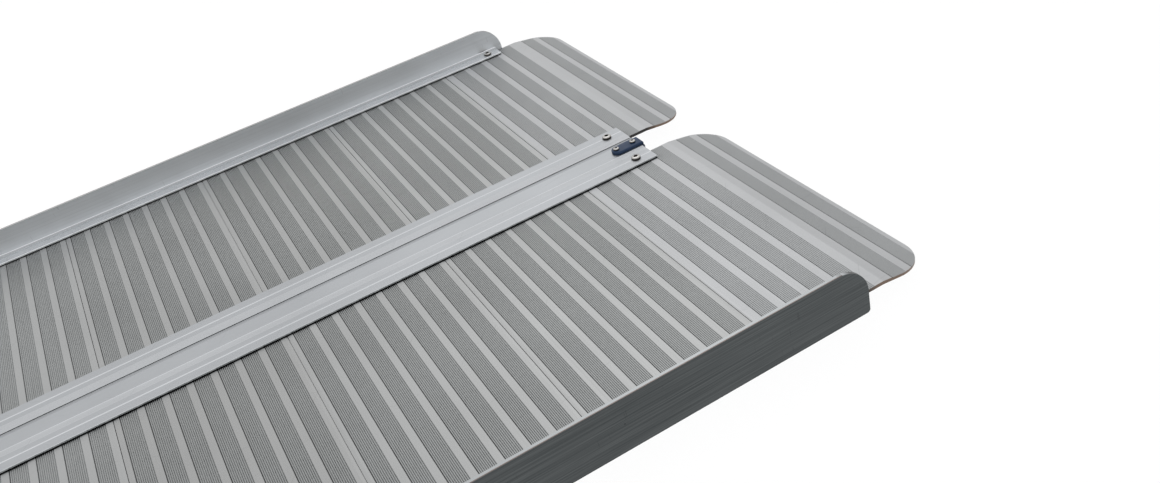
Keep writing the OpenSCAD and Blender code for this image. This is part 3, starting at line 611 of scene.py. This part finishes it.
def rail_faces(tree, place):
    """Painted shade outside and on the flange's lines and bead, painted light inside, dark sawn ends."""
    facing, where = split(tree, place)
    side, reach, height = unsigned(tree, where["X"]), unsigned(tree, where["Y"]), where["Z"]
    leaning = unsigned(tree, facing["X"])
    sideways = above(tree, leaning, square_on)
    # Painted light on the inner skin, as the deck's reflection, strongest low down
    inner_reflection_low = fade(tree, height, start=deck_top + 2 * mm, stop=rail_top, top=1.0)
    inner_reflection_colour = blended(tree, inner_reflection_low, (0.655, 0.675, 0.695, 1), (0.73, 0.75, 0.77, 1))
    inner_skin = every(tree, below(tree, side, outer_x - rail_t + skin_t), sideways)
    colour = blended(tree, inner_skin, (0.64, 0.66, 0.68, 1), inner_reflection_colour)

    # Painted shade in the flange's lines and on the bead at the wall's foot
    in_lines = between(tree, height, flange_top - line_reach, flange_top - line_clear)
    on_flange = between(tree, side, flange_from, flange_to)
    shaded_lines = every(tree, in_lines, above(tree, leaning, slight_lean), on_flange)
    colour = blended(tree, shaded_lines, colour, (0.33, 0.345, 0.36, 1))
    shaded_bead = every(tree, below(tree, side, flange_to),
                    between(tree, height, flange_top + bead_clear, flange_top + line_reach))
    colour = blended(tree, shaded_bead, colour, (0.37, 0.385, 0.4, 1))
    on_edge = above(tree, height, rail_top - top_edge_t)
    colour = blended(tree, on_edge, colour, (0.385, 0.4, 0.407, 1))
    outer_line = every(tree, above(tree, side, outer_x - outer_edge_w), on_edge)
    colour = blended(tree, outer_line, colour, (0.2, 0.165, 0.155, 1))

    # Painted shade on the outer skin, over its fine brushed lines
    in_fine_lines = stretched(tree, place["Object"], (1.0, 9.0, 1100.0))
    fine_lines = noise(tree, in_fine_lines, scale=1.0, detail=3.0, roughness=0.7)
    outer_shade_colour = blended(tree, fade(tree, fine_lines, start=0.68, stop=0.34, top=1.0),
                           (0.056, 0.062, 0.064, 1), (0.1, 0.108, 0.11, 1))
    outer_skin = every(tree, above(tree, side, outer_x - skin_t), sideways)
    colour = blended(tree, outer_skin, colour, outer_shade_colour)
    turned_down = put(tree, "ShaderNodeMapRange", {
        "Value": unsigned(tree, facing["Y"]), "From Min": round_from, "From Max": round_full})
    sawn_end = every(tree, above(tree, reach, rail_end - rail_round), turned_down.outputs[0])
    return blended(tree, sawn_end, colour, (0.095, 0.098, 0.098, 1))


rail_metal, rail_tree, rail_shader, rail_place, rail_marks = metal(
    "rail_aluminium", along, cloud_size=0.2, roughness=0.4)
rail_colour = rail_faces(rail_tree, rail_place)
rail_colour = tinted(rail_tree, rail_colour, rail_marks, streak_depth=0.06, cloud_depth=0.06)
rail_tree.links.new(rail_colour, rail_shader.inputs["Base Color"])
bumped(rail_tree, rail_shader, rail_marks["Streaks"], strength=0.3, distance=0.05 * mm)
dress("right_side_rail", rail_metal)
dress("left_side_rail", rail_metal)

# Fasteners.
# Bright stainless screws with a domed head and a six-sided recess: two in each cap, and one
# through each flange near its ends, with a chamfered nut below.
screw_y, nut_low = 672 * mm, 9.7 * mm
screw_x, rail_screw_x = guide_x, 343.15 * mm
cap_screw_y, cap_screw_gap = 664.4 * mm, 19 * mm
turned_sides = 48
even_grain = (350.0, 350.0, 350.0)


def six_sided(across_flats):
    """The radius of a hexagon at an angle."""
    return lambda angle: across_flats / 2 / math.cos(angle % (math.pi / 3) - math.pi / 6)


def turned(name, rings, closed=False):
    """A piece turned about Z: rings of radius (or a rule for it) and height in mm, and a shade value: painted
    shade on the fasteners, dust in the grip's grooves.
    """
    shape = bmesh.new()
    shade_and_dust = shape.verts.layers.float.new("shade_and_dust")
    loops = []
    for radius, height, dark in rings:
        loop = []
        for step in range(turned_sides):
            angle = 2 * math.pi * step / turned_sides
            r = (radius(angle) if callable(radius) else radius) * mm
            vert = shape.verts.new((r * math.cos(angle), r * math.sin(angle), height * mm))
            vert[shade_and_dust] = dark
            loop.append(vert)
        loops.append(loop)
    pairs = list(zip(loops, loops[1:]))
    if closed:
        pairs.append((loops[-1], loops[0]))
    for lower, upper in pairs:
        for step in range(turned_sides):
            after = (step + 1) % turned_sides
            shape.faces.new((lower[step], lower[after], upper[after], upper[step]))
    if not closed:
        shape.faces.new(loops[0][::-1])
        shape.faces.new(loops[-1])
    return kept(name, shape)


# The third number of each ring is painted shade on the shank, the head's low side and the recess
def screw_rings(head_r, head_h, shank_r, low, recess_af):
    """From the shank's end over a few threads, up to the dome and down into the recess."""
    recess = six_sided(recess_af)
    wider = six_sided(recess_af * 1.1)
    rings = [(shank_r * 0.72, low, 1.0)]
    crest = low + 0.5
    while crest < low + 4.2:
        rings += [(shank_r * 0.86, crest - 0.4, 0.7), (shank_r, crest, 0.2)]
        crest += 0.8
    rings += [(shank_r, crest, 0.2), (shank_r, 0.0, 0.4)]
    rings += [(head_r * 0.93, 0.0, 1.0), (head_r, 0.1 * head_h, 1.0), (head_r, 0.56 * head_h, 0.92)]
    rings += [(head_r * 0.965, 0.7 * head_h, 0.5), (head_r * 0.89, 0.8 * head_h, 0.0)]
    rings += [(head_r * 0.76, 0.9 * head_h, 0.0), (head_r * 0.6, 0.97 * head_h, 0.0)]
    rings += [(wider, head_h, 0.0), (recess, 0.93 * head_h, 0.7), (recess, 0.5 * head_h, 0.95)]
    rings += [(lambda angle: recess(angle) * 0.7, 0.42 * head_h, 0.5), (0.02, 0.38 * head_h, 0.4)]
    return rings


# The third numbers are painted shade, darkest in the bore
def nut_rings(across_flats, height, bore_r):
    """A hexagon whose corners are turned off at both faces."""
    hexagon = six_sided(across_flats)
    rings = []
    for level, corner_r in ((0.0, 1.0), (0.13, 1.09), (0.26, 1.16), (0.74, 1.16), (0.87, 1.09), (1.0, 1.0)):
        limit = across_flats / 2 * corner_r
        rings.append((lambda angle, limit=limit: min(hexagon(angle), limit), level * height, 0.15))
    rings += [(bore_r * 1.1, height, 0.5), (bore_r, 0.9 * height, 0.9), (bore_r, 0.1 * height, 0.9)]
    rings += [(bore_r * 1.1, 0.0, 0.5)]
    return rings


# Copies of one fastener in a row, and the same row at the ramp's other end
fastener_rows = bpy.data.node_groups.new("fastener_rows", "GeometryNodeTree")
fastener_rows.interface.new_socket("Fasteners", in_out="OUTPUT", socket_type="NodeSocketGeometry")
for title, kind in (("Pattern", "Object"), ("Count", "Int"), ("Start", "Vector"), ("Step", "Vector"),
                    ("Lean", "Vector"), ("Seed", "Int"), ("Finish", "Material")):
    fastener_rows.interface.new_socket(title, in_out="INPUT", socket_type=f"NodeSocket{kind}")
given = fastener_rows.nodes.new("NodeGroupInput").outputs
row = put(fastener_rows, "GeometryNodeMeshLine", {
    "Count": given["Count"], "Start Location": given["Start"], "Offset": given["Step"]})
other_end = put(fastener_rows, "GeometryNodeTransform", {"Geometry": row.outputs[0], "Scale": (1, -1, 1)})
places = fastener_rows.nodes.new("GeometryNodeJoinGeometry")
fastener_rows.links.new(row.outputs[0], places.inputs[0])
fastener_rows.links.new(other_end.outputs[0], places.inputs[0])
pattern = put(fastener_rows, "GeometryNodeObjectInfo", {"Object": given["Pattern"]})
copies = put(fastener_rows, "GeometryNodeInstanceOnPoints", {
    "Points": places.outputs[0], "Instance": pattern.outputs["Geometry"], "Rotation": given["Lean"]})
draw = put(fastener_rows, "FunctionNodeRandomValue",
           {"Min": (0, 0, 0), "Max": (0, 0, 2 * math.pi), "Seed": given["Seed"]}, data_type="FLOAT_VECTOR")
driven = put(fastener_rows, "GeometryNodeRotateInstances", {
    "Instances": copies.outputs[0], "Rotation": draw.outputs["Value"], "Local Space": True})
solid = put(fastener_rows, "GeometryNodeRealizeInstances", {"Geometry": driven.outputs[0]})
coated = put(fastener_rows, "GeometryNodeSetMaterial", {
    "Geometry": solid.outputs[0], "Material": given["Finish"]})
put(fastener_rows, "NodeGroupOutput", {"Fasteners": coated.outputs[0]})


def laid_out(name, body, node, slot, **values):
    """One body's fasteners as a plain mesh that stands for their CAD node."""
    holder = bpy.data.objects.new(f"{name}_rows", bpy.data.meshes.new(f"{name}_rows"))
    bpy.context.collection.objects.link(holder)
    modifier = holder.modifiers.new("rows", "NODES")
    modifier.node_group = fastener_rows
    for item in fastener_rows.interface.items_tree:
        if item.in_out == "INPUT":
            modifier[item.identifier] = values[item.name.lower()]
    evaluated = bpy.context.evaluated_depsgraph_get()
    mesh = bpy.data.meshes.new_from_object(holder.evaluated_get(evaluated), depsgraph=evaluated)
    mesh.name = name
    bpy.data.objects.remove(holder)
    piece = bpy.data.objects.new(name, mesh)
    bpy.context.collection.objects.link(piece)
    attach(piece, body)
    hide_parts(node)


def fastener_finish(name, bright, dark, roughness):
    """Steel with painted shade in its recess and low on its side, from the mesh's own attribute."""
    material, tree, shader, _, marks = metal(name, even_grain, cloud_size=0.006, roughness=roughness)
    depth = put(tree, "ShaderNodeAttribute", attribute_name="shade_and_dust")
    colour = blended(tree, depth.outputs["Fac"], bright, dark)
    colour = tinted(tree, colour, marks, streak_depth=0.05, cloud_depth=0.08)
    tree.links.new(colour, shader.inputs["Base Color"])
    bumped(tree, shader, marks["Streaks"], strength=0.15, distance=0.03 * mm)
    return material


screw_metal = fastener_finish("fastener_steel", bright=(0.48, 0.47, 0.455, 1), dark=(0.03, 0.027, 0.024, 1),
                              roughness=0.2)
flange_screw = turned("flange_screw", screw_rings(
    head_r=4.7, head_h=2.6, shank_r=2.5, low=-11.2, recess_af=4.0))
flange_nut = turned("flange_nut", nut_rings(across_flats=8, height=2.4, bore_r=2.6), closed=True)
cap_screw = turned("cap_screw", screw_rings(
    head_r=3.1, head_h=2.1, shank_r=1.75, low=-9.2, recess_af=2.6))
for side, way in (("right", 1), ("left", -1)):
    row_of = {"count": 2, "step": (way * (rail_screw_x - screw_x), 0, 0), "lean": (0, 0, 0),
              "finish": screw_metal}
    laid_out(f"{side}_flange_screw_set", f"{side}_half", f"{side}_flange_screws", "fastener_steel",
             pattern=flange_screw, start=(way * screw_x, screw_y, flange_top), seed=3 + way, **row_of)
    laid_out(f"{side}_flange_nut_set", f"{side}_half", f"{side}_flange_nuts", "fastener_steel",
             pattern=flange_nut, start=(way * screw_x, screw_y, nut_low), seed=8 + way, **row_of)
laid_out("cap_screw_set", "right_half", "hinge_cap_screws", "fastener_steel", pattern=cap_screw, count=2,
         start=(cap_x, cap_screw_y, flange_top + cap_h), step=(0, cap_screw_gap, 0), lean=(0, 0, 0), seed=5,
         finish=screw_metal)

# Carry handles.
# A zinc plated steel bail on each rail, in two barrels on plates that are riveted to the
# rail, with a ribbed black rubber grip pushed on it.
handle_x, grip_low = 362.5 * mm, 9 * mm
rivet_y, rivet_low, rivet_gap = 88 * mm, 34 * mm, 8 * mm
bracket_t = 2 * mm
handle_metal = drawn_metal("handle_steel", (0.46, 0.465, 0.47), cloud_size=0.03, roughness=0.3,
                           streak_depth=0.03, cloud_depth=0.06)
rivet_metal = fastener_finish("rivet_steel", bright=(0.48, 0.485, 0.49, 1), dark=(0.06, 0.06, 0.06, 1),
                              roughness=0.3)
grip_rubber = bpy.data.materials.new("grip_rubber")
grip_rubber.use_nodes = True
grip_tree = grip_rubber.node_tree
grip_shader = grip_tree.nodes["Principled BSDF"]
grip_place = put(grip_tree, "ShaderNodeTexCoord").outputs["Object"]
grip_grain = noise(grip_tree, grip_place, scale=1200.0, detail=3.0)
grip_dust = noise(grip_tree, grip_place, scale=70.0, detail=5.0, roughness=0.6)
grip_depth = put(grip_tree, "ShaderNodeAttribute", attribute_name="shade_and_dust").outputs["Fac"]
grip_colour = blended(grip_tree, grip_grain, (0.02, 0.02, 0.021, 1), (0.034, 0.034, 0.035, 1))
dusty = every(grip_tree, grip_depth, grip_dust)
grip_colour = blended(grip_tree, dusty, grip_colour, (0.075, 0.073, 0.07, 1))
grip_tree.links.new(grip_colour, grip_shader.inputs["Base Color"])
grip_tree.links.new(spread(grip_tree, grip_dust, 0.62, 0.8, swing=0.15), grip_shader.inputs["Roughness"])
bumped(grip_tree, grip_shader, grip_grain, strength=0.35, distance=0.1 * mm)

# A rivet from its flat tail inside the rail to its domed head on the plate, along Z
# Its third numbers are painted shade, darkest on the head's rim and in the dimple on top
rivet = turned("rivet", [
    (1.2, -7.0, 0.6), (2.6, -6.95, 0.2), (3.2, -6.5, 0.1), (3.36, -5.5, 0.6), (2.4, -5.5, 0.6),
    (2.4, 0.0, 0.6), (3.6, 0.0, 0.9), (3.55, 0.35, 0.5), (3.2, 0.85, 0.1), (2.5, 1.25, 0.0),
    (1.4, 1.46, 0.0), (0.9, 1.5, 0.0), (0.75, 1.3, 0.9), (0.05, 1.25, 0.9)])

# The grip's outline in mm: a rounded shoulder at each end, and round grooves between the ribs
grip_r, grip_bore, grip_half = 7.0, 3.2, 46.0
groove_count, groove_depth = 9, 0.5
groove_profile = ((-1.5, 0.0), (-1.0, 0.12), (-0.55, 0.42), (0, groove_depth), (0.55, 0.42), (1.0, 0.12),
                  (1.5, 0))
shoulder = [(grip_bore, 0.0), (5.3, 0.0), (6.2, 0.35), (6.8, 1.0), (grip_r, 1.9)]
grip_rings = [(r, offset - grip_half, 0.0) for r, offset in shoulder]
for number in range(1, groove_count + 1):
    middle = number * 2 * grip_half / (groove_count + 1) - grip_half
    for offset, depth in groove_profile:
        grip_rings.append((grip_r - depth, middle + offset, depth / groove_depth))
grip_rings += [(r, grip_half - offset, 0.0) for r, offset in shoulder[::-1]]

for side, way in (("right", 1), ("left", -1)):
    for part in ("brackets", "bail"):
        dress(f"{side}_handle_{part}", handle_metal)
    laid_out(f"{side}_rivet_set", f"{side}_half", f"{side}_handle_rivets", "handle_steel", pattern=rivet,
             count=2, start=(way * (outer_x + bracket_t), rivet_y, rivet_low), step=(0, 0, rivet_gap),
             lean=(0, way * math.pi / 2, 0), seed=11 + way, finish=rivet_metal)
    grip = turned(f"{side}_ribbed_grip", grip_rings, closed=True)
    grip_at = Matrix.Translation((way * handle_x, 0, grip_low))
    grip.data.transform(grip_at @ Matrix.Rotation(math.pi / 2, 4, "X"))
    grip.data.materials.append(grip_rubber)
    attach(grip, f"{side}_handle")
    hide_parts(f"{side}_handle_grip")

for pattern_piece in (flange_screw, flange_nut, cap_screw, rivet):
    bpy.data.objects.remove(pattern_piece)
